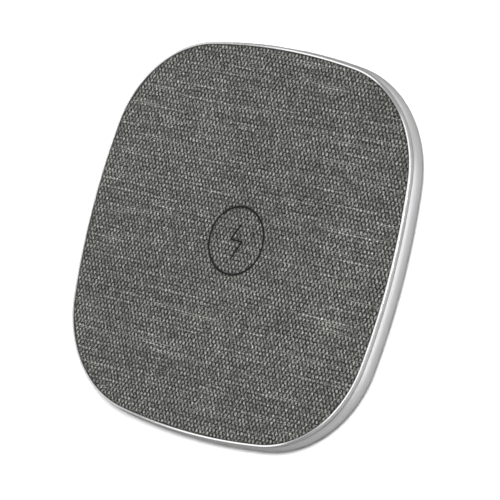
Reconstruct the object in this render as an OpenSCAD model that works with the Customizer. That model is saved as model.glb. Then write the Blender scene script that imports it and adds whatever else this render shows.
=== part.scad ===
// Wireless charging pad: a fabric-faced metal frame, closed below by a plastic base plate,
// around a flat charging coil and its driver board.
// The pad lies on its feet on Z = 0, its face looks up, and its USB-C inlet faces +Y.

/* [Outline] */
// Overall width and length of the frame
body_w = 100; // [99:0.5:104]
// Radius of the four corners
corner_r = 29.76; // [29.12:0.16:30.72]

/* [Frame] */
// Height of the metal frame
frame_h = 6.6; // [6.5:0.1:7.2]
// Radius of the frame's lower outer edge
lower_round = 3.2; // [2.8:0.1:3.4]
// Radius of the frame's rounded shoulder between its widest line and the groove, seen in section
shoulder_r = 4; // [3.9:0.1:5]
// Distance from the outline to the inner edge of the polished top land
land_inset = 1.14; // [1.05:0.01:1.25]
// Width of the fine groove that runs round the side, between the shoulder and the rim
groove_w = 0.2; // [0.14:0.02:0.26]
// Distance from the outline to the frame's inner wall
wall_inset = 3.2; // [3:0.1:3.4]
// Distance from the outline to the inner edge of the lower flange
flange_inset = 4.6; // [4.4:0.1:4.8]
// Thickness of the lower flange
flange_t = 0.8; // [0.6:0.1:0.8]

/* [Base] */
// Height that the rubber feet stand below the base plate
foot_proud = 0.6; // [0.5:0.1:1]
// Depth of the recess that holds each foot
foot_recess = 0.4; // [0.3:0.1:0.4]
// Diameter of a foot
foot_d = 9; // [7:0.5:11]
// Distance of each foot and case screw from the centre, along X and along Y
foot_pitch = 30.5; // [30:0.5:31]
// Height that the base plate stands below the frame
base_proud = 0.6; // [0.4:0.1:0.8]
// Distance from the outline to the edge of the base plate
base_inset = 3.7; // [3.7:0.1:3.9]

/* [Face] */
// Thickness of the woven face
fabric_t = 0.6; // [0.4:0.05:0.7]
// Depth of the woven face below the polished land
fabric_drop = 0.1; // [0:0.05:0.2]
// Thickness of the plate under the fabric
plate_t = 1.1; // [1:0.05:1.2]
// Mean radius of the pressed ring
mark_r = 8.6; // [7:0.1:10]
// Width of the pressed lines
mark_line = 0.58; // [0.3:0.02:0.64]
// Depth of the pressed lines
mark_depth = 0.15; // [0.05:0.05:0.3]

/* [Coil] */
// Diameter of the litz wire
wire_d = 0.9; // [0.8:0.05:0.9]
// Spacing of the turns
turn_pitch = 1; // [0.98:0.01:1.02]
// Radius of the first turn
coil_inner_r = 10.5; // [10:0.1:10.6]
// Number of half turns, an odd number so that the coil ends on the far side
half_turns = 29; // [25:2:29]
// Thickness of the ferrite sheet
ferrite_t = 0.8; // [0.6:0.05:0.8]
// Radius of the ferrite sheet
ferrite_r = 26.5; // [26:0.1:27]

/* [Board] */
// Thickness of the circuit board
board_t = 1; // [0.8:0.1:1]
// Height of the board above the base plate
board_gap = 0.9; // [0.9:0.05:1]
// Width of the board
board_w = 53; // [52:0.5:53.5]

/* [Hidden] */

// Fineness of small rounds and of the long outline arcs
round_fn = 48;
sweep_fn = 360;
// Overshoot of cutting tools, and the gap left round pieces that drop into place
cut = 1;
gap = 0.05;

// Outline: four bowed sides and four corners, arcs that meet in tangent. The two centres of each
// meeting pair and the tangent point lie on one line, which rises 15 in 112 and is 113 long.
tangent_run = [112, 15];
tangent_length = 113;
outline_unit = (body_w / 2 - corner_r) / (tangent_length - tangent_run.x + tangent_run.y);
corner_centre = tangent_run.y * outline_unit;
side_centre = tangent_run.x * outline_unit - corner_centre;
side_r = side_centre + body_w / 2;
wedge_scale = 0.3;
side_sweep = 20;

// Heights, from the floor up
film_t = 0.1;
base_t = 1.4;
base_z = foot_proud;
base_top = base_z + base_t;
frame_z = base_z + base_proud;
frame_top = frame_z + frame_h;
widest_z = frame_z + lower_round;
fabric_top = frame_top - fabric_drop;
fabric_z = fabric_top - fabric_t;
plate_top = fabric_z - film_t;
plate_z = plate_top - plate_t;
coil_z = plate_z - film_t - wire_d / 2;
ferrite_top = coil_z - wire_d / 2 - film_t;
ferrite_z = ferrite_top - ferrite_t;
lead_z = ferrite_top + film_t - gap - wire_d / 2;
board_z = base_top + board_gap;
board_top = board_z + board_t;

// Frame section: the polished land falls a little towards the rim, and meets it in an edge break
land_fall = 0.063;
edge_break = 0.08;
side_top = frame_top - land_fall - edge_break;
groove_z = frame_top - 1.25;
groove_depth = 0.15;
rim_inset = shoulder_r - sqrt(pow(shoulder_r, 2) - pow(groove_z - widest_z, 2));
base_gap = 0.1;

// Base plate
base_chamfer = 0.4;
rim_t = 1.2;
rim_h = 0.8;
rim_notch_w = 12;
foot_round = 0.3;

// Screws
boss_d = 4.8;
boss_top = base_top + 1.1;
seat_z = base_z + 1.6;
head_d = 3.2;
head_h = 1;
head_crown = 0.25;
seat_d = 3.5;
shank_d = 1.5;
shank_clear_d = 1.9;
cross_w = 0.4;
cross_l = 1.8;
cross_depth = 0.5;
case_screw_l = 4;
board_screw_l = 2;
board_screw_d = 1.4;
board_screw_pos = [20.5, 33.5];
post_d = 4;
rest_post_pos = [8, 42.5];
rest_post_d = 3;

// Pressed mark
bolt = [[0.25, 4], [-1.8, 0.1], [1.95, 0], [-0.25, -4.6]];

// Coil and sensor
coil_outer_x = coil_inner_r + half_turns * turn_pitch / 2;
bend_r = (coil_z - lead_z) / 2;
lead_end_y = 31;
outer_bend_y = 22;
film_inner_r = 8;
film_outer_r = 25.4;
lead_slot_w = 1.4;
bead_slot_w = 2;
bead_r = 0.8;
bead_z = plate_z - 1.3;
sensor_wire_r = 0.13;
sensor_wire_x = 0.3;
sensor_wire_y = 0.3;
sensor_wire_l = 30.2;

// Board outline
board_front = 28.5;
board_rear = 45;
board_corner = 5;
notch_w = 9.2;
notch_y = 41.5;

// USB-C inlet
usb_w = 8.94;
usb_h = 3.2;
usb_sheet = 0.31;
usb_z = base_top + 1.7;
usb_mouth = body_w / 2 - 1;
usb_l = 7.35;
usb_clear = 0.18;
usb_base_l = 2.45;
tongue_w = 6.7;
tongue_t = 0.7;
tongue_end = usb_mouth - 0.8;
contact_pitch = 0.5;
contact_w = 0.25;
contact_t = 0.04;
contact_l = 3.2;
contacts_a_side = 12;
wing_w = 1.5;
wing_l = 1;
wing_t = 0.3;

// Status light
led_x = 9.5;
led_y = 44.3;
led_size = [1.6, 0.8, 0.6];
pipe_z = board_top + 0.3;
pipe_d = 1.5;
pipe_flange_d = 2.2;
pipe_flange_t = 0.5;
pipe_start = 45.1;
pipe_flange_y = 45.9;
pipe_end = 49.66;

// Offset of a line's two sides, mitred at its corners
function seg_normal(pts, i) =
    let (d = pts[i + 1] - pts[i])
    [-d.y, d.x] / norm(d);
function mitre(pts, i) =
    i == 0 ? seg_normal(pts, 0)
    : i == len(pts) - 1 ? seg_normal(pts, i - 1)
    : let (a = seg_normal(pts, i - 1), b = seg_normal(pts, i))
      (a + b) / (1 + a * b);
function stroke(pts, w) = concat(
    [for (i = [0:len(pts) - 1]) pts[i] + mitre(pts, i) * w / 2],
    [for (i = [len(pts) - 1:-1:0]) pts[i] - mitre(pts, i) * w / 2]
);

// The region that holds one bowed side, and the one that holds one corner
module side_region() {
    run = tangent_run * wedge_scale;
    polygon([
        [corner_centre, -corner_centre],
        [corner_centre + run.x, -corner_centre - run.y],
        [corner_centre + run.x, corner_centre + run.y],
        [corner_centre, corner_centre]
    ]);
}

module corner_region() {
    run = tangent_run * wedge_scale;
    translate([corner_centre, corner_centre])
        polygon([[0, 0], run, [run.x, run.x], [run.y, run.x]]);
}

// The pad's outline, drawn inset by a distance: a square, four side caps and four corner wedges
module outline(inset) {
    square(2 * corner_centre, center = true);
    for (quarter = [0:90:270])
        rotate(quarter) {
            intersection() {
                side_region();
                translate([-side_centre, 0])
                    circle(side_r - inset, $fn = 4 * sweep_fn);
            }
            intersection() {
                corner_region();
                translate([corner_centre, corner_centre])
                    circle(corner_r - inset, $fn = sweep_fn);
            }
        }
}

// A flat plate of the pad's outline
module slab(inset, z0, z1) {
    translate([0, 0, z0])
        linear_extrude(z1 - z0)
            outline(inset);
}

// Sweeps a section round the outline: section X is measured outwards from the outline, Y is height
module sweep() {
    for (quarter = [0:90:270])
        rotate(quarter) {
            intersection() {
                linear_extrude(2 * frame_top)
                    side_region();
                translate([-side_centre, 0, 0])
                    rotate_extrude(angle = side_sweep, start = -side_sweep / 2, $fn = 4 * sweep_fn)
                        translate([side_r, 0])
                            children();
            }
            intersection() {
                linear_extrude(2 * frame_top)
                    corner_region();
                translate([corner_centre, corner_centre, 0])
                    rotate_extrude(angle = 90, start = 0, $fn = sweep_fn)
                        translate([corner_r, 0])
                            children();
            }
        }
}

// A slot with round ends, centred, w long and h high
module stadium(w, h) {
    flat = w - h;
    square([flat, h], center = true);
    for (side = [0, 180])
        rotate(side)
            translate([flat / 2, 0])
                intersection() {
                    circle(d = h, $fn = round_fn);
                    translate([0, -h])
                        square(2 * h);
                }
}

// A stadium pushed along Y at the inlet's height, from y0 to y1
module inlet_bar(w, h, y0, y1) {
    translate([0, y1, usb_z])
        rotate([90, 0, 0])
            linear_extrude(y1 - y0)
                stadium(w, h);
}

module at_feet() {
    for (x = [-foot_pitch, foot_pitch], y = [-foot_pitch, foot_pitch])
        translate([x, y, 0])
            children();
}

module at_board_screws() {
    for (x = [-board_screw_pos.x, board_screw_pos.x])
        translate([x, board_screw_pos.y, 0])
            children();
}

module rod(d, z0, z1) {
    translate([0, 0, z0])
        cylinder(d = d, h = z1 - z0, $fn = round_fn);
}

// Pan-head screw with a cross recess, head seat at Z = 0 and shank along +Z
module pan_screw(head, shank, l) {
    difference() {
        rotate_extrude($fn = round_fn)
            polygon([
                [0, -head_h],
                [head / 2 - head_crown, -head_h],
                [head / 2, -head_h + head_crown],
                [head / 2, 0],
                [shank / 2, 0],
                [shank / 2, l - shank / 2],
                [0, l]
            ]);
        for (turn = [0, 90])
            rotate(turn)
                translate([0, 0, -head_h])
                    cube([cross_l, cross_w, 2 * cross_depth], center = true);
    }
}

// A chip capacitor or resistor lying along X, with its two metal ends
module chip_part(size) {
    end_l = size.x * 0.2;
    skin = 0.02;
    translate([-size.x / 2 + end_l, -size.y / 2 + skin, board_top + skin])
        cube([size.x - 2 * end_l, size.y - 2 * skin, size.z - 2 * skin]);
    for (x = [-size.x / 2, size.x / 2 - end_l])
        translate([x, -size.y / 2, board_top])
            cube([end_l, size.y, size.z]);
}

// A flat leadless chip package with contact pads along all four edges
module flat_chip(side, h, pads) {
    pad_w = 0.25;
    pad_t = 0.15;
    pad_out = 0.05;
    pitch = (side - 1) / (pads - 1);
    translate([-side / 2, -side / 2, board_top + pad_t])
        cube([side, side, h - pad_t]);
    for (turn = [0:90:270], i = [0:pads - 1])
        rotate(turn)
            translate([side / 2 - 0.4, (i - (pads - 1) / 2) * pitch - pad_w / 2, board_top])
                cube([0.4 + pad_out, pad_w, pad_t]);
}

module wire(l, r) {
    rotate([-90, 0, 0])
        cylinder(r = r, h = l, $fn = round_fn / 2);
}

// A double bend along +Y that drops a wire by twice the bend's radius, and moves it on as far
module wire_drop() {
    rotate([90, 0, 90]) {
        translate([0, -bend_r])
            rotate_extrude(angle = 90, start = 0, $fn = sweep_fn)
                translate([bend_r, 0])
                    circle(d = wire_d, $fn = round_fn / 2);
        translate([2 * bend_r, -bend_r])
            rotate_extrude(angle = 90, start = 180, $fn = sweep_fn)
                translate([bend_r, 0])
                    circle(d = wire_d, $fn = round_fn / 2);
    }
}

// Slots that let the sensor and the inner coil lead out of the disc below the coil
module lead_slots(z0, z1) {
    translate([-coil_inner_r - lead_slot_w / 2, -cut, z0])
        cube([lead_slot_w, ferrite_r + 2 * cut, z1 - z0]);
    translate([-bead_slot_w / 2, -bead_slot_w / 2, z0])
        cube([bead_slot_w, ferrite_r + 2 * cut, z1 - z0]);
}

module fabric_cover() {
    color([0.40, 0.40, 0.39])
        difference() {
            slab(land_inset + gap, fabric_z, fabric_top);
            translate([0, 0, fabric_top - mark_depth])
                rotate_extrude($fn = sweep_fn)
                    translate([mark_r - mark_line / 2, 0])
                        square([mark_line, mark_depth + cut]);
            translate([0, 0, fabric_top - mark_depth])
                linear_extrude(mark_depth + cut)
                    polygon(stroke(bolt, mark_line));
        }
}

module fabric_adhesive() {
    color("wheat")
        slab(land_inset + 2 * gap, plate_top, fabric_z);
}

module top_plate() {
    color([0.16, 0.16, 0.17])
        difference() {
            union() {
                slab(land_inset + gap, plate_z, plate_top);
                at_feet()
                    rod(boss_d, boss_top + gap, plate_z);
            }
            at_feet()
                rod(shank_d, boss_top, seat_z + case_screw_l + 0.3);
        }
}

// Section of the frame: a rounded lower edge, a rounded shoulder, and an upright rim above the groove
module frame_section() {
    difference() {
        union() {
            intersection() {
                translate([-shoulder_r, widest_z])
                    circle(shoulder_r, $fn = 2 * sweep_fn);
                translate([-flange_inset, widest_z])
                    square([flange_inset + cut, groove_z - widest_z]);
            }
            translate([-flange_inset, widest_z])
                square([flange_inset - rim_inset, frame_top - widest_z]);
            intersection() {
                translate([-lower_round, widest_z])
                    circle(lower_round, $fn = 2 * round_fn);
                translate([-lower_round, frame_z - cut])
                    square([lower_round + cut, lower_round + cut]);
            }
            translate([-flange_inset, frame_z])
                square([flange_inset - lower_round, lower_round]);
        }
        // Slope of the polished land, and the edge break between it and the rim
        polygon([
            [-land_inset, frame_top],
            [-land_inset, frame_top + cut],
            [cut, frame_top + cut],
            [cut, side_top],
            [-rim_inset, side_top],
            [-rim_inset - edge_break, side_top + edge_break]
        ]);
        // Fine groove round the side
        translate([-rim_inset - groove_depth, groove_z])
            square([rim_inset + groove_depth + cut, groove_w]);
        // Rebate that takes the plate and the fabric
        translate([-flange_inset - cut, plate_z])
            square([flange_inset + cut - land_inset, frame_h]);
        // Room inside the wall, above the flange
        translate([-flange_inset - cut, base_top + flange_t])
            square([flange_inset + cut - wall_inset, frame_h]);
        // Rebate below the flange that takes the base plate
        translate([-flange_inset - cut, frame_z - cut])
            square([flange_inset + cut - base_inset + base_gap, base_top - frame_z + cut]);
    }
}

module frame_ring() {
    color("silver")
        difference() {
            sweep()
                frame_section();
            inlet_bar(usb_w + 2 * usb_clear, usb_h + 2 * usb_clear, usb_mouth - usb_l, body_w / 2 + cut);
            translate([led_x, pipe_flange_y, pipe_z])
                wire(body_w / 2 + cut - pipe_flange_y, pipe_d / 2 + gap / 2);
        }
}

module bottom_cover() {
    color([0.13, 0.13, 0.14])
        difference() {
            union() {
                slab(base_inset + rim_t, base_z, base_top);
                sweep()
                    polygon([
                        [-base_inset - rim_t, base_z],
                        [-base_inset - base_chamfer, base_z],
                        [-base_inset, base_z + base_chamfer],
                        [-base_inset, base_top],
                        [-base_inset - rim_t, base_top]
                    ]);
                // Rim that centres the cover inside the frame's flange
                difference() {
                    slab(flange_inset + base_gap, base_top, base_top + rim_h);
                    slab(flange_inset + base_gap + rim_t, base_top - cut, base_top + cut + rim_h);
                    translate([-rim_notch_w / 2, 0, base_top - cut])
                        cube([rim_notch_w, body_w, rim_h + 2 * cut]);
                }
                at_feet()
                    rod(boss_d, base_top, boss_top);
                at_board_screws()
                    rod(post_d, base_top, board_z);
                for (x = [-rest_post_pos.x, rest_post_pos.x])
                    translate([x, rest_post_pos.y, 0])
                        rod(rest_post_d, base_top, board_z);
            }
            at_feet() {
                rod(foot_d + 4 * gap, base_z - cut, base_z + foot_recess);
                rod(seat_d, base_z, seat_z);
                rod(shank_clear_d, base_z, boss_top + cut);
            }
            at_board_screws()
                rod(board_screw_d, board_top - board_screw_l - board_t - gap, board_z + cut);
        }
}

module rubber_feet() {
    color([0.08, 0.08, 0.08])
        at_feet()
            rotate_extrude($fn = 2 * round_fn) {
                translate([0, foot_round])
                    square([foot_d / 2, foot_proud + foot_recess - foot_round]);
                square([foot_d / 2 - foot_round, foot_round]);
                translate([foot_d / 2 - foot_round, foot_round])
                    intersection() {
                        circle(foot_round, $fn = round_fn);
                        translate([0, -foot_round])
                            square(foot_round);
                    }
            }
}

module case_screws() {
    color("gainsboro")
        at_feet()
            translate([0, 0, seat_z])
                pan_screw(head_d, shank_d, case_screw_l);
}

// A spiral of half turns whose centres alternate about the middle
module charging_coil() {
    color([0.72, 0.38, 0.16])
        translate([0, 0, coil_z])
            for (i = [0:half_turns - 1])
                translate([(i % 2 == 0 ? 1 : -1) * turn_pitch / 4, 0, 0])
                    rotate(i % 2 == 0 ? 180 : 0)
                        rotate_extrude(angle = 180, $fn = sweep_fn / 3)
                            translate([coil_inner_r + turn_pitch / 4 + i * turn_pitch / 2, 0])
                                circle(d = wire_d, $fn = round_fn / 2);
}

module coil_leads() {
    color([0.78, 0.45, 0.2]) {
        translate([-coil_inner_r, 0, coil_z]) {
            wire_drop();
            translate([0, 2 * bend_r, -2 * bend_r])
                wire(lead_end_y - 2 * bend_r, wire_d / 2);
        }
        translate([coil_outer_x, 0, coil_z]) {
            wire(outer_bend_y, wire_d / 2);
            translate([0, outer_bend_y, 0])
                wire_drop();
            translate([0, outer_bend_y + 2 * bend_r, -2 * bend_r])
                wire(lead_end_y - outer_bend_y - 2 * bend_r, wire_d / 2);
        }
    }
}

module film_ring(z0) {
    difference() {
        rod(2 * film_outer_r, z0, z0 + film_t);
        rod(2 * film_inner_r, z0 - cut, z0 + film_t + cut);
    }
}

module coil_adhesive() {
    color("ivory")
        film_ring(plate_z - film_t);
}

module ferrite_adhesive() {
    color("ivory")
        difference() {
            film_ring(ferrite_top);
            lead_slots(ferrite_top - cut, ferrite_top + film_t + cut);
        }
}

module ferrite_sheet() {
    color([0.2, 0.2, 0.22])
        difference() {
            rod(2 * ferrite_r, ferrite_z, ferrite_top);
            lead_slots(ferrite_z - cut, ferrite_top + cut);
        }
}

module sensor_wires() {
    for (x = [-sensor_wire_x, sensor_wire_x])
        translate([x, sensor_wire_y, board_top + sensor_wire_r + gap / 2])
            wire(sensor_wire_l, sensor_wire_r);
}

module thermistor() {
    color([0.1, 0.1, 0.12])
        difference() {
            union() {
                rod(2 * bead_r, bead_z, plate_z);
                translate([0, 0, bead_z])
                    intersection() {
                        sphere(bead_r, $fn = round_fn);
                        translate([-bead_r, -bead_r, -2 * bead_r])
                            cube(2 * bead_r);
                    }
            }
            sensor_wires();
        }
}

module thermistor_leads() {
    color("gainsboro")
        sensor_wires();
}

module main_board() {
    half = board_w / 2;
    color([0.05, 0.3, 0.16])
        difference() {
            translate([0, 0, board_z])
                linear_extrude(board_t)
                    polygon([
                        [-half, board_front],
                        [half, board_front],
                        [half, board_rear - board_corner],
                        [half - board_corner, board_rear],
                        [notch_w / 2, board_rear],
                        [notch_w / 2, notch_y],
                        [-notch_w / 2, notch_y],
                        [-notch_w / 2, board_rear],
                        [-half + board_corner, board_rear],
                        [-half, board_rear - board_corner]
                    ]);
            at_board_screws()
                rod(board_screw_d + 4 * gap, board_z - cut, board_top + cut);
        }
}

module board_screws() {
    color("gainsboro")
        at_board_screws()
            translate([0, 0, board_top])
                mirror([0, 0, 1])
                    pan_screw(head_d, board_screw_d, board_screw_l + board_t - gap);
}

module usb_shell() {
    y0 = usb_mouth - usb_l;
    color("silver") {
        difference() {
            inlet_bar(usb_w, usb_h, y0, usb_mouth);
            inlet_bar(usb_w - 2 * usb_sheet, usb_h - 2 * usb_sheet, y0 + usb_sheet, usb_mouth + cut);
        }
        // Solder wings on the board, on both sides of the notch
        for (side = [0, 1], y = [y0 + 0.3, board_rear - wing_l])
            mirror([side, 0, 0])
                translate([usb_w / 2 - usb_sheet / 2, y, board_top])
                    cube([wing_w, wing_l, wing_t]);
    }
}

module usb_tongue() {
    y0 = usb_mouth - usb_l + usb_sheet;
    color([0.1, 0.1, 0.1]) {
        inlet_bar(usb_w - 2 * usb_sheet, usb_h - 2 * usb_sheet, y0, y0 + usb_base_l);
        translate([-tongue_w / 2, y0 + usb_base_l, usb_z - tongue_t / 2])
            cube([tongue_w, tongue_end - y0 - usb_base_l, tongue_t]);
    }
}

module usb_contacts() {
    color("gold")
        for (side = [0, 1], i = [0:contacts_a_side - 1])
            translate([
                (i - (contacts_a_side - 1) / 2) * contact_pitch - contact_w / 2,
                tongue_end - contact_l - 2 * gap,
                usb_z + (side == 0 ? tongue_t / 2 : -tongue_t / 2 - contact_t)
            ])
                cube([contact_w, contact_l, contact_t]);
}

module controller_chip() {
    color([0.12, 0.12, 0.13])
        translate([8, 36, 0])
            flat_chip(5, 0.85, 8);
}

module bridge_chips() {
    color([0.15, 0.15, 0.16])
        for (x = [-8, -3.5], y = [33, 37.5])
            translate([x, y, 0])
                flat_chip(3, 0.8, 4);
}

module power_inductor() {
    side = 5;
    bevel = 0.8;
    half = side / 2;
    color([0.3, 0.3, 0.32])
        translate([15, 40, board_top])
            linear_extrude(1.8)
                polygon([
                    for (turn = [0:90:270], p = [[half, -half + bevel], [half, half - bevel]])
                        [p.x * cos(turn) - p.y * sin(turn), p.x * sin(turn) + p.y * cos(turn)]
                ]);
}

module resonance_capacitors() {
    color([0.62, 0.5, 0.38])
        for (i = [0:3])
            translate([-14.8, 30.6 + 3 * i, 0])
                chip_part([3.2, 2.5, 1.6]);
}

module filter_capacitors() {
    color([0.7, 0.6, 0.45]) {
        for (i = [0:2])
            translate([-11.8 + 2.4 * i, 42.6, 0])
                rotate(90)
                    chip_part([2, 1.25, 0.9]);
        for (i = [0:1])
            translate([13.2 + 2 * i, 34.2, 0])
                rotate(90)
                    chip_part([2, 1.25, 0.9]);
    }
}

module chip_resistors() {
    color([0.1, 0.1, 0.11])
        for (i = [0:5])
            translate([2.4 + 2.2 * i, 30.8, 0])
                chip_part([1.6, 0.8, 0.45]);
}

module status_led() {
    color("white")
        translate([led_x - led_size.x / 2, led_y - led_size.y / 2, board_top])
            cube(led_size);
}

module light_pipe() {
    color([0.85, 0.9, 0.95])
        translate([led_x, 0, pipe_z]) {
            translate([0, pipe_start, 0])
                wire(pipe_flange_y - pipe_flange_t - pipe_start, pipe_d / 2);
            translate([0, pipe_flange_y - pipe_flange_t, 0])
                wire(2 * pipe_flange_t, pipe_flange_d / 2);
            translate([0, pipe_flange_y + pipe_flange_t, 0])
                wire(pipe_end - pipe_flange_y - pipe_flange_t, pipe_d / 2);
        }
}

fabric_cover();
fabric_adhesive();
top_plate();
frame_ring();
bottom_cover();
rubber_feet();
case_screws();
charging_coil();
coil_leads();
coil_adhesive();
ferrite_adhesive();
ferrite_sheet();
thermistor();
thermistor_leads();
main_board();
board_screws();
usb_shell();
usb_tongue();
usb_contacts();
controller_chip();
bridge_chips();
power_inductor();
resonance_capacitors();
filter_capacitors();
chip_resistors();
status_led();
light_pipe();
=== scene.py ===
"""Wireless charging pad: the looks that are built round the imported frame."""
import math

import bpy
import numpy as np
from mathutils import Matrix, Vector, noise
from mathutils.geometry import delaunay_2d_cdt


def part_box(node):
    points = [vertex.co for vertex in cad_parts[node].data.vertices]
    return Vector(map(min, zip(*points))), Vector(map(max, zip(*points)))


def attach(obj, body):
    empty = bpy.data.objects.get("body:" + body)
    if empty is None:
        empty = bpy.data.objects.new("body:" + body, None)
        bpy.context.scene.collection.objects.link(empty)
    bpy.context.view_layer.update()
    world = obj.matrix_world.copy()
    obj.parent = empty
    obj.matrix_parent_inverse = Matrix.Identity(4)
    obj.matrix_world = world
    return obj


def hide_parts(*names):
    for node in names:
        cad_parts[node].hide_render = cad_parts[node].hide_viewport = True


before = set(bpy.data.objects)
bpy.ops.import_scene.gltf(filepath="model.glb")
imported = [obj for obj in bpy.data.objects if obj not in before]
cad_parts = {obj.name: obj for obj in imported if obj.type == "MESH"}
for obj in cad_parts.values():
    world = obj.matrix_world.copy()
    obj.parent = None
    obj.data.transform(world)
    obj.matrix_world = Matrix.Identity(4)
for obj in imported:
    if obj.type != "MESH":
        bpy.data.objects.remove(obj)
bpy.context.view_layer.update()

MM = 0.001

# The outline, as in the CAD: four bowed sides and four corners, arcs that meet in tangent
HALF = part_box("frame_ring")[1].x
CORNER_R = 29.76 * MM
UNIT = (HALF - CORNER_R) / 16
CORNER_CENTRE = 15 * UNIT
SIDE_CENTRE = 112 * UNIT - CORNER_CENTRE
SIDE_R = SIDE_CENTRE + HALF
SIDE_HALF_ANGLE = math.atan2(15, 112)

# The frame in section, in mm, as in the CAD
FRAME_BOTTOM = 1.2
LOWER_R = 3.2
WIDEST_Z = 4.4
SHOULDER_R = 4
GROOVE_LOW = 6.55
GROOVE_HIGH = 6.75
GROOVE_DEPTH = 0.15
LAND_INSET = 1.14
LAND_TOP = 7.8

# The pressed mark, as in the CAD
MARK_R = 8.6 * MM
MARK_LINE = 0.58 * MM
MARK_DEPTH = 0.15 * MM
BOLT = [(x * MM, y * MM) for x, y in ((0.25, 4), (-1.8, 0.1), (1.95, 0), (-0.25, -4.6))]

# The inlet's slot and the status light's hole, as in the CAD
SLOT_W = 9.3 * MM
SLOT_H = 3.56 * MM
HOLE_D = 1.55 * MM
HOLE_START_Y = 45.9 * MM

# The weave: the warp yarns stand side by side along X, the weft yarns along Y
WARP_PITCH = 0.585 * MM
WEFT_PITCH = 1.067 * MM
WARP_PER_HALF = 86
WEFT_PER_HALF = 48
WEAVE_RELIEF = 0.17 * MM
EDGE_ROLL = 0.45 * MM
EDGE_DROP = 0.30 * MM
FABRIC_TINT = (0.124, 0.124, 0.1155)

# Rows of mesh points beside each line of the mark, in mm from its middle
LINE_ROWS = (-0.30, -0.20, -0.12, 0, 0.12, 0.20, 0.30)

# Where the values of a noise lie, for the most part
NOISE_LOW, NOISE_HIGH = 0.3, 0.7

# The noise that moves the yarns has a random origin unless it is seeded
noise.seed_set(7)


# Meshes

def outline(inset, step):
    """Points of the outline, drawn inset, and their outward normals, about one step apart."""
    arcs = []
    for quarter in range(4):
        turn = quarter * math.pi / 2
        centre = np.array([-SIDE_CENTRE * math.cos(turn), -SIDE_CENTRE * math.sin(turn)])
        arcs.append((centre, SIDE_R, turn - SIDE_HALF_ANGLE, turn + SIDE_HALF_ANGLE))
        middle = turn + math.pi / 4
        centre = CORNER_CENTRE * math.sqrt(2) * np.array([math.cos(middle), math.sin(middle)])
        arcs.append((centre, CORNER_R, turn + SIDE_HALF_ANGLE, turn + math.pi / 2 - SIDE_HALF_ANGLE))
    points, normals = [], []
    for centre, radius, start, end in arcs:
        count = max(2, round(radius * (end - start) / step))
        angles = start + (end - start) * np.arange(count) / count
        unit = np.stack([np.cos(angles), np.sin(angles)], axis=1)
        points.append(centre + unit * (radius - inset))
        normals.append(unit)
    return np.concatenate(points), np.concatenate(normals)


def depth_inside(xy):
    """How far each point lies inside the outline."""
    x, y = np.abs(xy[:, 0]), np.abs(xy[:, 1])
    swap = y > x
    x, y = np.where(swap, y, x), np.where(swap, x, y)
    in_side = np.arctan2(y, x + SIDE_CENTRE) <= SIDE_HALF_ANGLE
    side = SIDE_R - np.hypot(x + SIDE_CENTRE, y)
    corner = CORNER_R - np.hypot(x - CORNER_CENTRE, y - CORNER_CENTRE)
    return np.where(in_side, side, corner)


def mesh_object(name, points, faces):
    """A smooth-shaded object made of those points and faces."""
    mesh = bpy.data.meshes.new(name)
    mesh.from_pydata([tuple(p) for p in points], [], faces)
    mesh.validate()
    mesh.shade_smooth()
    obj = bpy.data.objects.new(name, mesh)
    bpy.context.scene.collection.objects.link(obj)
    return obj


def stroke_distance(xy, path):
    """Distance from each point to a line of several straight parts."""
    best = np.full(len(xy), np.inf)
    for a, b in zip(path[:-1], path[1:]):
        a, d = np.array(a), np.array(b) - np.array(a)
        t = np.clip((xy - a) @ d / (d @ d), 0, 1)
        best = np.minimum(best, np.linalg.norm(xy - a - t[:, None] * d, axis=1))
    return best


def smooth_step(x):
    """0 below 0 and 1 above 1, with a smooth rise between them."""
    x = np.clip(x, 0, 1)
    return x * x * (3 - 2 * x)


# Materials

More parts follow.
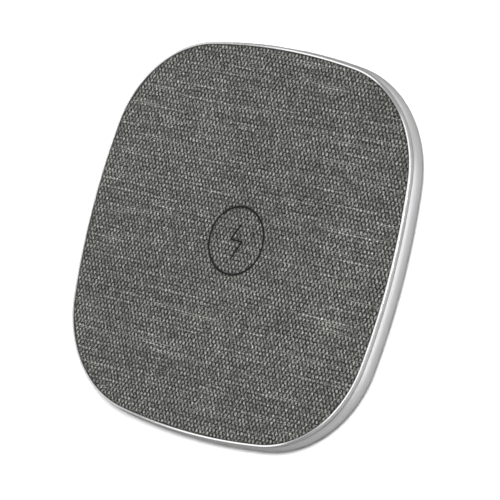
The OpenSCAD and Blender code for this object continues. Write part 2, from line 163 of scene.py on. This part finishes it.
class Nodes:
    """A material's node tree, with short ways to add nodes to it."""

    def __init__(self, name):
        self.material = bpy.data.materials.new(name)
        self.material.use_nodes = True
        self.tree = self.material.node_tree
        self.shader = self.tree.nodes["Principled BSDF"]

    def add(self, kind, **settings):
        node = self.tree.nodes.new(kind)
        for key, value in settings.items():
            setattr(node, key, value)
        return node

    def plug(self, value, socket):
        if isinstance(value, bpy.types.NodeSocket):
            self.tree.links.new(value, socket)
        else:
            socket.default_value = value

    def math(self, operation, *values):
        node = self.add("ShaderNodeMath", operation=operation)
        for value, socket in zip(values, node.inputs):
            self.plug(value, socket)
        return node.outputs[0]

    def vector(self, operation, *values):
        node = self.add("ShaderNodeVectorMath", operation=operation)
        for value, socket in zip(values, node.inputs):
            self.plug(value, socket)
        return node.outputs[0]

    def combine(self, x, y, z):
        node = self.add("ShaderNodeCombineXYZ")
        for value, socket in zip((x, y, z), node.inputs):
            self.plug(value, socket)
        return node.outputs[0]

    def split(self, vector):
        node = self.add("ShaderNodeSeparateXYZ")
        self.plug(vector, node.inputs[0])
        return node.outputs

    def place(self):
        return self.add("ShaderNodeTexCoord").outputs["Object"]

    def noise(self, vector, scale, detail=2.0, roughness=0.5):
        node = self.add("ShaderNodeTexNoise")
        self.plug(vector, node.inputs["Vector"])
        self.plug(scale, node.inputs["Scale"])
        self.plug(detail, node.inputs["Detail"])
        self.plug(roughness, node.inputs["Roughness"])
        return node.outputs["Fac"]

    def random(self, vector):
        node = self.add("ShaderNodeTexWhiteNoise", noise_dimensions="3D")
        self.plug(vector, node.inputs["Vector"])
        return node.outputs["Value"]

    def span(self, value, from_low, from_high, to_low, to_high):
        """value, moved from one range to another and held inside it."""
        node = self.add("ShaderNodeMapRange")
        for part, socket in zip((value, from_low, from_high, to_low, to_high), node.inputs):
            self.plug(part, socket)
        return node.outputs[0]

    def spread(self, value, low, high):
        """A noise's usual values, moved to the range from low to high."""
        return self.span(value, NOISE_LOW, NOISE_HIGH, low, high)

    def mix(self, share, low, high):
        """Colour between low at share 0 and high at share 1."""
        node = self.add("ShaderNodeMix", data_type="RGBA")
        self.plug(share, node.inputs["Factor"])
        self.plug(low, node.inputs[6])
        self.plug(high, node.inputs[7])
        return node.outputs[2]

    def bump(self, height, distance, strength=1.0):
        node = self.add("ShaderNodeBump")
        self.plug(height, node.inputs["Height"])
        self.plug(distance, node.inputs["Distance"])
        self.plug(strength, node.inputs["Strength"])
        self.tree.links.new(node.outputs[0], self.shader.inputs["Normal"])

    def set(self, **values):
        """Sets the shader's inputs, with _ for each space in their names, and gives the material."""
        for key, value in values.items():
            self.plug(value, self.shader.inputs[key.replace("_", " ")])
        return self.material


def rgb(tone, tint=(1, 1, 1)):
    """A grey of that tone, tinted."""
    return (tone * tint[0], tone * tint[1], tone * tint[2], 1)


def grained(name, low, high, grain, rough, relief, **values):
    """A finish whose colour, gloss and relief all vary with a grain of that size."""
    n = Nodes(name)
    broad = n.noise(n.place(), 0.12 / grain, 3.0)
    fine = n.noise(n.place(), 1 / grain, 3.0, 0.6)
    tone = n.math("ADD", n.math("MULTIPLY", broad, 0.5), n.math("MULTIPLY", fine, 0.5))
    n.bump(fine, relief)
    return n.set(
        Base_Color=n.mix(n.span(tone, 0.35, 0.65, 0, 1), low, high),
        Roughness=n.span(broad, 0.35, 0.65, *rough),
        **values,
    )


# Fabric

def lattice_wobble(x, y):
    """How far the weave lies from its regular places at a point: yarns wander a little."""
    slow = noise.noise_vector(Vector((x * 110, y * 110, 0.0)))
    quick = noise.noise_vector(Vector((x * 420, y * 420, 7.0)))
    return 0.16 * MM * slow.x + 0.05 * MM * quick.x, 0.20 * MM * slow.y + 0.07 * MM * quick.y


def weave_height(u, v):
    """Height of the plain weave's surface, from 0 in the gaps to 1 on the warp floats."""
    floats = 0.5 + 0.5 * np.cos(math.pi * u) * np.cos(math.pi * v)
    warp_round = 1 - np.clip((np.abs(u - np.round(u)) - 0.2) / 0.3, 0, 1)
    return 0.65 * smooth_step(floats) + 0.35 * warp_round


def fabric_points(inset):
    """Plan positions of the sheet's points: the weave's lattice, the mark's lines and the rim."""
    us = np.arange(-3 * WARP_PER_HALF, 3 * WARP_PER_HALF + 1) / 3
    vs = np.arange(-2 * WEFT_PER_HALF, 2 * WEFT_PER_HALF + 1) / 2
    u, v = (a.ravel() for a in np.meshgrid(us, vs, indexing="ij"))
    wobble = np.array([lattice_wobble(a * WARP_PITCH, b * WEFT_PITCH) for a, b in zip(u, v)])
    grid = np.stack([u * WARP_PITCH, v * WEFT_PITCH], axis=1) + wobble
    clear_of_line, clear_of_rim = 0.36 * MM, 0.62 * MM
    keep = depth_inside(grid) > inset + clear_of_rim
    keep &= np.abs(np.hypot(grid[:, 0], grid[:, 1]) - MARK_R) > clear_of_line
    keep &= stroke_distance(grid, BOLT) > clear_of_line
    sets = [grid[keep]]
    for extra in (0, 0.05, 0.13, 0.25, 0.42):
        sets.append(outline(inset + extra * MM, 0.3 * MM)[0])
    angles = np.arange(240) * math.tau / 240
    circle = np.stack([np.cos(angles), np.sin(angles)], axis=1)
    for offset in LINE_ROWS:
        sets.append((MARK_R + offset * MM) * circle)
    sets.append(bolt_points())
    return np.concatenate(sets)


def bolt_points():
    """Points on and beside the zigzag, in rows along its parts, with none too close to another."""
    overrun, step, least_gap = 0.3 * MM, 0.2 * MM, 0.075 * MM
    found = []
    for a, b in zip(BOLT[:-1], BOLT[1:]):
        a, b = np.array(a), np.array(b)
        length = np.linalg.norm(b - a)
        along = (b - a) / length
        across = np.array([-along[1], along[0]])
        for offset in LINE_ROWS:
            for t in np.arange(-overrun, length + overrun, step):
                found.append(a + along * t + across * offset * MM)
    kept = []
    for p in found:
        if all(np.linalg.norm(p - q) > least_gap for q in kept):
            kept.append(p)
    return np.array(kept)


def build_fabric():
    """The woven sheet: yarns that stand up, the mark pressed in, and the rim rolled down."""
    low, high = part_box("fabric_cover")
    inset = HALF - high.x
    xy = fabric_points(inset)
    made = delaunay_2d_cdt([Vector(p) for p in xy / MM], [], [], 0, 1e-6)
    xy = np.array([tuple(p) for p in made[0]]) * MM
    faces = [tuple(f) for f in made[2]]

    wobble = np.array([lattice_wobble(x, y) for x, y in xy])
    u = (xy[:, 0] - wobble[:, 0]) / WARP_PITCH
    v = (xy[:, 1] - wobble[:, 1]) / WEFT_PITCH
    to_ring = np.abs(np.hypot(xy[:, 0], xy[:, 1]) - MARK_R)
    to_line = np.minimum(to_ring, stroke_distance(xy, BOLT) + 0.01 * MM)
    slope_width, slope_shift = 0.12 * MM, 0.055 * MM
    pressed = 1 - smooth_step((to_line - MARK_LINE / 2 + slope_shift) / slope_width)
    depth = depth_inside(xy) - inset
    rolled = 1 - np.clip(depth / EDGE_ROLL, 0, 1)
    weave = weave_height(u, v)
    z = high.z + WEAVE_RELIEF * (weave - 0.5) * (1 - 0.6 * pressed)
    z -= MARK_DEPTH * pressed
    z -= EDGE_DROP * (1 - np.sqrt(np.clip(1 - rolled ** 2, 0, 1)))

    points = np.column_stack([xy, z])
    points, faces = close_below(points, faces, low.z)
    obj = mesh_object("woven_face", points, faces)
    store(obj, "weave", np.column_stack([u, v, np.zeros(len(u))]), len(points))
    store(obj, "mark", np.column_stack([pressed, rolled, np.zeros(len(u))]), len(points))
    return obj


def close_below(points, faces, floor):
    """Adds walls down from the open border of an upward face, and a flat face below."""
    edges = {pair: True for face in faces for pair in zip(face, face[1:] + face[:1])}
    border = {a: b for a, b in edges if (b, a) not in edges}
    start = next(iter(border))
    loop = [start]
    while border[loop[-1]] != start:
        loop.append(border[loop[-1]])
    first = len(points)
    lower = points[loop].copy()
    lower[:, 2] = floor
    count = len(loop)
    walls = [
        (loop[i], first + i, first + (i + 1) % count, loop[(i + 1) % count])
        for i in range(count)
    ]
    bottom = tuple(first + i for i in reversed(range(count)))
    return np.concatenate([points, lower]), faces + walls + [bottom]


def store(obj, name, values, total):
    """Keeps a vector for each point of a mesh; the points added last get zeros."""
    padded = np.zeros((total, 3), np.float32)
    padded[:len(values)] = values
    attribute = obj.data.attributes.new(name, "FLOAT_VECTOR", "POINT")
    attribute.data.foreach_set("vector", padded.ravel())


def fabric_material():
    """Light floats in a staggered pattern round dark gaps, with some weft yarns seen as slubs. The
    floats' lighter yarn is the cloth's own colour. The darkness in the holes between yarns and between
    the weft rows is partly darker weft yarn and partly painted shade. The darkening of the rolled rim is
    painted shade.
    """
    n = Nodes("woven_fabric")
    weave = n.add("ShaderNodeAttribute", attribute_name="weave").outputs["Vector"]
    mark = n.add("ShaderNodeAttribute", attribute_name="mark").outputs["Vector"]
    u, v, _ = n.split(weave)
    pressed, rolled, _ = n.split(mark)
    place = n.place()
    x, y, _ = n.split(place)

    ragged = n.noise(n.vector("MULTIPLY", place, (2500, 2000, 1)), 1.0, 2.0)
    # Light on the warp floats and dark in the holes where the yarns dip: partly the darker weft yarn,
    # partly painted shade in the holes
    floats = n.math(
        "MULTIPLY",
        n.math("COSINE", n.math("MULTIPLY", u, math.pi)),
        n.math("COSINE", n.math("MULTIPLY", v, math.pi)),
    )
    # The rows term darkens the hollows between the weft rows: painted shade
    rows = n.math("COSINE", n.math("MULTIPLY", v, math.tau))
    floats = n.math("ADD", floats, n.math("MULTIPLY", rows, 0.25))
    floats = n.math("ADD", floats, n.span(ragged, 0.2, 0.8, -1.2, 1.2))
    light = n.span(floats, -0.62, 0.78, 0, 1)

    warp, weft = n.math("ROUND", u), n.math("ROUND", v)
    dot = n.random(n.combine(warp, weft, 3.0))
    half_row = n.math("ROUND", n.math("MULTIPLY", v, 2))
    off_row = n.math("ABSOLUTE", n.math("SUBTRACT", n.math("MULTIPLY", v, 2), half_row))

    def along(a, a_scale, b, b_scale, layer, detail=2.0):
        """A noise with its own scale along each of two values."""
        where = n.combine(n.math("MULTIPLY", a, a_scale), n.math("MULTIPLY", b, b_scale), layer)
        return n.noise(where, 1.0, detail)

    streak = along(x, 42, half_row, 5.3, 1.0, 3.0)
    slub = n.math("MULTIPLY", n.span(streak, 0.56, 0.66, 0, 1), n.span(off_row, 0.08, 0.28, 1, 0))
    row_tone = along(x, 28, weft, 2.9, 4.0)
    end_tone = along(warp, 3.7, y, 60, 5.0)
    mottle = n.noise(n.vector("MULTIPLY", place, (45, 22, 1)), 1.0, 2.0)
    grain = n.noise(n.vector("MULTIPLY", place, (3200, 2900, 1)), 1.0, 1.0)
    fibre = n.noise(n.vector("MULTIPLY", place, (7000, 2200, 1)), 1.0, 2.0)

    tone = n.math("ADD", n.math("MULTIPLY", light, n.span(dot, 0, 1, 0.9, 1.95)), 0.03)
    tone = n.math("ADD", tone, n.math("MULTIPLY", slub, 0.9))
    for value, low, high in (
        (row_tone, 0.88, 1.14), (end_tone, 0.90, 1.10), (mottle, 0.90, 1.12),
        (grain, 0.20, 1.80), (fibre, 0.85, 1.15),
    ):
        tone = n.math("MULTIPLY", tone, n.spread(value, low, high))
    tone = n.math("MULTIPLY", tone, n.span(pressed, 0.1, 0.8, 1.0, 0.03))
    # Darkens the rim where the cloth rolls down into the gap by the frame: painted shade
    tone = n.math("MULTIPLY", tone, n.span(rolled, 0, 1, 1.0, 0.30))
    colour = n.vector("MULTIPLY", FABRIC_TINT, n.combine(tone, tone, tone))

    n.bump(n.math("ADD", light, n.math("MULTIPLY", fibre, 0.3)), 0.06 * MM)
    return n.set(
        Base_Color=colour,
        Roughness=n.spread(fibre, 0.78, 0.95),
        Specular_IOR_Level=0.25,
        Sheen_Weight=0.1,
        Sheen_Roughness=0.5,
    )


# Frame metal

def metal_material():
    """Satin metal, polished where it faces up at the height of the land, with streaks in its grey that
    are painted reflection bands.
    """
    n = Nodes("frame_metal")
    place = n.place()
    geometry = n.add("ShaderNodeNewGeometry")
    _, _, height = n.split(place)
    _, _, up = n.split(geometry.outputs["Normal"])
    at_top = n.span(height, 7.5 * MM, 7.6 * MM, 0, 1)
    polished = n.math("MULTIPLY", n.span(up, 0.80, 0.95, 0, 1), at_top)
    grain = n.noise(place, 9000, 3.0, 0.6)
    # Streaks that run round the frame and change quickly with height: in the gloss they are the satin's
    # own variation, in the grey they are painted reflection bands
    smear_and_painted_bands = n.noise(n.vector("MULTIPLY", place, (120, 120, 500)), 1.0, 3.0)
    satin = n.math("MULTIPLY", n.math("SUBTRACT", 1.0, polished), n.spread(smear_and_painted_bands, 0.44, 0.52))
    roughness = n.math("ADD", n.math("MULTIPLY", polished, 0.07), satin)
    n.bump(grain, 0.004 * MM, 0.5)
    return n.set(
        # The satin's grey follows the streaks: painted reflection bands
        Base_Color=n.mix(polished, n.mix(smear_and_painted_bands, rgb(0.35), rgb(0.41)), rgb(0.90)),
        Metallic=1.0,
        Roughness=roughness,
        Specular_Tint=rgb(0.25),
    )


def bend(start, corner, end, count):
    """Points of a smooth bend from start to end, tangent there to the lines from the corner."""
    start, corner, end = np.array(start), np.array(corner), np.array(end)
    return [
        tuple((1 - t) ** 2 * start + 2 * t * (1 - t) * corner + t ** 2 * end)
        for t in np.arange(1, count + 1) / count
    ]


def frame_section():
    """The frame's section in mm, as (inset from the outline, height), with the land's edges rounded."""
    def shoulder(z):
        return SHOULDER_R - math.sqrt(SHOULDER_R ** 2 - (z - WIDEST_Z) ** 2), z

    side = [shoulder(z) for z in np.linspace(WIDEST_Z, GROOVE_LOW, 16)]
    rim = side[-1][0]
    groove = rim + GROOVE_DEPTH
    side += [(groove, GROOVE_LOW), (groove, GROOVE_HIGH), (rim, GROOVE_HIGH)]
    side += [(rim, GROOVE_HIGH + 0.02), (rim, 7.61)]
    crest = bend((rim, 7.63), (rim, 7.7277), (0.74, 7.7436), 8)
    land = [(0.76, 7.7464), (1.07, 7.7901), (1.09, 7.7929)]
    land += bend((1.09, 7.7929), (LAND_INSET, LAND_TOP), (LAND_INSET, 7.76), 3)
    rebate = [(LAND_INSET, 7.70), (LAND_INSET, 5.9), (3.2, 5.9)]
    flange = [(3.2, 2.8), (4.6, 2.8), (4.6, 2.0), (3.6, 2.0), (3.6, FRAME_BOTTOM)]
    turns = np.linspace(0, math.pi / 2, 20)[:-1]
    lower = [(LOWER_R - LOWER_R * math.sin(a), WIDEST_Z - LOWER_R * math.cos(a)) for a in turns]
    return side + crest + land + rebate + flange + lower


def stadium(width, height, steps=24):
    """Points round a slot with round ends, centred; a circle where both sizes are the same."""
    r, flat = height / 2, (width - height) / 2
    angles = (np.arange(steps) + 0.5) * math.pi / steps - math.pi / 2
    right = [(flat + r * math.cos(a), r * math.sin(a)) for a in angles]
    return right + [(-x, -z) for x, z in right]


def bar_along_y(name, shape, centre, y0, y1):
    """A closed bar along Y, with its section's points given about a centre (x, z)."""
    count = len(shape)
    points = [(centre[0] + x, y, centre[1] + z) for y in (y0, y1) for x, z in shape]
    faces = [(k, count + k, count + (k + 1) % count, (k + 1) % count) for k in range(count)]
    ends = [tuple(range(count)), tuple(reversed(range(count, 2 * count)))]
    return mesh_object(name, points, faces + ends)


def cut_away(obj, cutters):
    """Cuts closed pieces out of a mesh, and removes them."""
    for cutter in cutters:
        modifier = obj.modifiers.new(cutter.name, "BOOLEAN")
        modifier.object, modifier.operation, modifier.solver = cutter, "DIFFERENCE", "EXACT"
    settle(obj)
    for cutter in cutters:
        bpy.data.objects.remove(cutter)


def settle(obj):
    """Applies an object's modifiers to its mesh."""
    graph = bpy.context.evaluated_depsgraph_get()
    obj.data = bpy.data.meshes.new_from_object(obj.evaluated_get(graph))
    obj.modifiers.clear()


def build_frame():
    """The metal frame: its section carried round the outline, with the inlet's slot and a light hole."""
    section = frame_section()
    ring, normals = outline(0, 0.5 * MM)
    count, across = len(ring), len(section)
    points = [
        (*(at - normal * inset * MM), z * MM) for at, normal in zip(ring, normals) for inset, z in section
    ]
    faces = []
    for i in range(count):
        here, there = i * across, (i + 1) % count * across
        for k in range(across):
            m = (k + 1) % across
            faces.append((here + k, there + k, there + m, here + m))
    obj = mesh_object("metal_frame", points, faces)
    tongue_low, tongue_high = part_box("usb_tongue")
    pipe_low, pipe_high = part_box("light_pipe")
    slot_centre = (0, (tongue_low.z + tongue_high.z) / 2)
    hole_centre = ((pipe_low.x + pipe_high.x) / 2, (pipe_low.z + pipe_high.z) / 2)
    cut_away(obj, [
        bar_along_y("slot", stadium(SLOT_W, SLOT_H), slot_centre, tongue_low.y - 0.3 * MM, HALF + MM),
        bar_along_y("hole", stadium(HOLE_D, HOLE_D), hole_centre, HOLE_START_Y, HALF + MM),
    ])
    obj.data.shade_smooth()
    obj.data.set_sharp_from_angle(angle=math.radians(40))
    return obj


def dress(material, *nodes):
    """Gives carried-over CAD nodes one material."""
    for node in nodes:
        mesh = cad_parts[node].data
        mesh.materials.clear()
        mesh.materials.append(material)


def litz_material():
    """Bundled enamelled strands: fine light and dark lines that wind round the bundle."""
    n = Nodes("coil_copper")
    x, y, z = n.split(n.place())
    around = n.math("ARCTAN2", y, x)
    twist = n.math("ADD", n.math("MULTIPLY", around, 220), n.math("MULTIPLY", z, 9000))
    strand = n.span(n.math("SINE", twist), -1, 1, 0, 1)
    fine = n.noise(n.place(), 3000, 3.0)
    n.bump(strand, 0.02 * MM)
    share = n.math("MULTIPLY", strand, fine)
    return n.set(
        Base_Color=n.mix(share, rgb(1, (0.30, 0.12, 0.04)), rgb(1, (0.75, 0.34, 0.14))),
        Metallic=1.0,
        Roughness=n.spread(fine, 0.22, 0.38),
        Coat_Weight=0.5,
        Coat_Roughness=0.15,
    )


def board_material():
    """Green solder mask, a little lighter over the copper areas below it."""
    n = Nodes("board_laminate")
    cells = n.add("ShaderNodeTexVoronoi", distance="MANHATTAN")
    n.plug(n.place(), cells.inputs["Vector"])
    n.plug(450, cells.inputs["Scale"])
    edge = n.span(cells.outputs["Distance"], 0.42, 0.48, 0, 1)
    fine = n.noise(n.place(), 4000, 3.0)
    n.bump(edge, 0.01 * MM)
    return n.set(
        Base_Color=n.mix(edge, rgb(1, (0.012, 0.10, 0.045)), rgb(1, (0.006, 0.06, 0.025))),
        Roughness=n.spread(fine, 0.24, 0.36),
        Coat_Weight=0.3,
        Coat_Roughness=0.1,
    )


def dress_all():
    """Finishes for every piece that stays as it is in the CAD."""
    fine, coarse = 0.12 * MM, 0.4 * MM
    cream, gold, fired, ice = (1, 0.94, 0.78), (1, 0.72, 0.28), (1, 0.65, 0.35), (0.97, 1, 1.02)

    look = rgb(0.026), rgb(0.038), coarse, (0.5, 0.64), 0.02 * MM
    dress(grained("housing_plastic", *look), "bottom_cover", "top_plate")
    look = rgb(0.016), rgb(0.024), coarse, (0.78, 0.92), 0.02 * MM
    dress(grained("foot_rubber", *look), "rubber_feet")
    look = rgb(0.70, cream), rgb(0.78, cream), coarse, (0.4, 0.55), 0.005 * MM
    dress(grained("adhesive_film", *look), "fabric_adhesive", "coil_adhesive", "ferrite_adhesive")
    look = rgb(0.50), rgb(0.60), fine, (0.28, 0.42), 0.004 * MM
    dress(grained("screw_steel", *look, Metallic=1.0), "case_screws", "board_screws")
    dress(litz_material(), "charging_coil", "coil_leads")
    dress(board_material(), "main_board")
    look = rgb(0.040), rgb(0.052, (1, 1, 1.1)), fine, (0.5, 0.62), 0.01 * MM
    dress(grained("ferrite", *look), "ferrite_sheet", "power_inductor")
    look = rgb(0.018), rgb(0.026), fine, (0.42, 0.58), 0.006 * MM
    dress(grained("chip_resin", *look), "thermistor", "controller_chip", "bridge_chips", "chip_resistors")
    look = rgb(0.60), rgb(0.70), fine, (0.25, 0.38), 0.003 * MM
    dress(grained("tinned_wire", *look, Metallic=1.0), "thermistor_leads")
    look = rgb(0.54), rgb(0.64), fine, (0.20, 0.32), 0.003 * MM
    dress(grained("shell_steel", *look, Metallic=1.0), "usb_shell")
    look = rgb(0.016), rgb(0.024), fine, (0.4, 0.55), 0.004 * MM
    dress(grained("tongue_plastic", *look), "usb_tongue")
    look = rgb(0.84, gold), rgb(0.94, gold), fine, (0.18, 0.28), 0.002 * MM
    dress(grained("contact_gold", *look, Metallic=1.0), "usb_contacts")
    look = rgb(0.30, fired), rgb(0.38, fired), fine, (0.4, 0.52), 0.004 * MM
    dress(grained("capacitor_ceramic", *look), "resonance_capacitors", "filter_capacitors")
    look = rgb(0.78), rgb(0.86, (1, 1, 0.95)), fine, (0.22, 0.34), 0.003 * MM
    dress(grained("led_resin", *look), "status_led")
    look = rgb(0.82, ice), rgb(0.90, ice), fine, (0.18, 0.30), 0.003 * MM
    dress(grained("clear_plastic", *look, Transmission_Weight=0.8, IOR=1.49), "light_pipe")


# Stage

def build_floor():
    """A plain pale floor, far wider than any view of the pad."""
    reach = 6.0
    corners = [(-reach, -reach, 0), (reach, -reach, 0), (reach, reach, 0), (-reach, reach, 0)]
    floor = mesh_object("floor", corners, [(0, 1, 2, 3)])
    floor.data.materials.append(grained("floor_paint", rgb(0.84), rgb(0.86), 0.01, (0.9, 0.95), 0.0))


def area_light(name, size, radiance):
    """A rectangular soft light, not yet in its place."""
    data = bpy.data.lights.new(name, "AREA")
    data.shape = "RECTANGLE"
    data.size, data.size_y = size
    data.energy = radiance * math.pi * size[0] * size[1]
    obj = bpy.data.objects.new(name, data)
    bpy.context.scene.collection.objects.link(obj)
    return obj


def low_light(name, direction, length, radiance):
    """A long, low strip light that stands on edge by the floor and faces the pad from a direction."""
    width, distance = 0.12, 1.1
    obj = area_light(name, (width, length), radiance)
    away = Vector(direction).normalized()
    across = Vector((0, 1, 0)).cross(away).normalized()
    axes = Matrix((across, away.cross(across), away)).transposed()
    obj.matrix_world = Matrix.Translation(away * distance) @ axes.to_4x4()


def far_light(name, direction, spread, irradiance):
    """A distant round soft light, which lights the floor evenly as far as it is seen."""
    data = bpy.data.lights.new(name, "SUN")
    data.angle, data.energy = spread, irradiance
    obj = bpy.data.objects.new(name, data)
    obj.rotation_euler = Vector(direction).to_track_quat("Z", "Y").to_euler()
    bpy.context.scene.collection.objects.link(obj)


def ceiling_light(name, span_x, half_y, radiance):
    """A panel above the floor that faces down, between two places along X."""
    ceiling = 1.2
    obj = area_light(name, (span_x[1] - span_x[0], 2 * half_y), radiance)
    obj.location = (sum(span_x) / 2, 0, ceiling)


def build_world():
    """White where the camera sees it; as light, a dim sky that is brighter near the horizon."""
    world = bpy.data.worlds.new("studio")
    world.use_nodes = True
    tree = world.node_tree
    background = tree.nodes["Background"]
    path = tree.nodes.new("ShaderNodeLightPath")
    strength = tree.nodes.new("ShaderNodeMapRange")
    place = tree.nodes.new("ShaderNodeTexCoord")
    split = tree.nodes.new("ShaderNodeSeparateXYZ")
    sky = tree.nodes.new("ShaderNodeMapRange")
    for socket, value in (("From Min", 0.2), ("From Max", 0.6), ("To Min", 0.45), ("To Max", 0.09)):
        sky.inputs[socket].default_value = value
    tree.links.new(place.outputs["Generated"], split.inputs[0])
    tree.links.new(split.outputs["Z"], sky.inputs["Value"])
    tree.links.new(sky.outputs[0], strength.inputs["To Min"])
    strength.inputs["To Max"].default_value = 1.0
    tree.links.new(path.outputs["Is Camera Ray"], strength.inputs["Value"])
    tree.links.new(strength.outputs[0], background.inputs["Strength"])
    background.inputs["Color"].default_value = (1, 1, 1, 1)
    bpy.context.scene.world = world
    bpy.context.scene.view_settings.view_transform = "Standard"


def build_camera():
    """The photo's view: the pad is seen 39 degrees off its normal, rolled by 14 degrees."""
    turn = Matrix.Identity(3)
    for angle, axis in ((14.38, "Z"), (-1.66, "X"), (39.34, "Y")):
        turn = turn @ Matrix.Rotation(math.radians(angle), 3, axis)
    to_camera = turn @ Matrix.Diagonal((1, -1, -1))
    face_from_camera = Vector((-3.56, -2.37, 885.5)) * 0.9795 * MM
    face = Vector((0, 0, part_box("fabric_cover")[1].z))
    axes = to_camera.transposed() @ Matrix.Diagonal((1, -1, -1))
    camera = bpy.data.objects.new("camera", bpy.data.cameras.new("camera"))
    camera.data.sensor_width = 36
    camera.data.lens = 251.6
    camera.data.clip_start, camera.data.clip_end = 0.05, 50
    place = face - to_camera.transposed() @ face_from_camera
    camera.matrix_world = Matrix.Translation(place) @ axes.to_4x4()
    bpy.context.scene.collection.objects.link(camera)
    bpy.context.scene.camera = camera


build_camera()
build_world()
build_floor()

# The key light's shadows fall to the left; the low strips light the frame's rounded side, and the
# ceiling panels are what its polished land mirrors
far_light("key", (0.58, 0.16, 0.95), math.radians(15), 4.3)
low_light("low_right", (1.0, 0.0, 0.06), 1.4, 11.0)
low_light("low_back", (0.25, 1.0, 0.08), 0.5, 11.0)
low_light("low_left", (-1.0, 0.5, 0.08), 1.2, 8.0)
ceiling_light("overhead", (-0.54, -0.34), 0.45, 1.1)
ceiling_light("left_gap", (-0.74, -0.54), 0.6, 0.35)
ceiling_light("left_near", (-1.11, -0.74), 0.62, 1.1)
ceiling_light("left_far", (-2.20, -1.15), 0.65, 0.65)

fabric = build_fabric()
fabric.data.materials.append(fabric_material())
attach(fabric, "root")
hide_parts("fabric_cover")

metal = build_frame()
metal.data.materials.append(metal_material())
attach(metal, "root")
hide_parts("frame_ring")

dress_all()
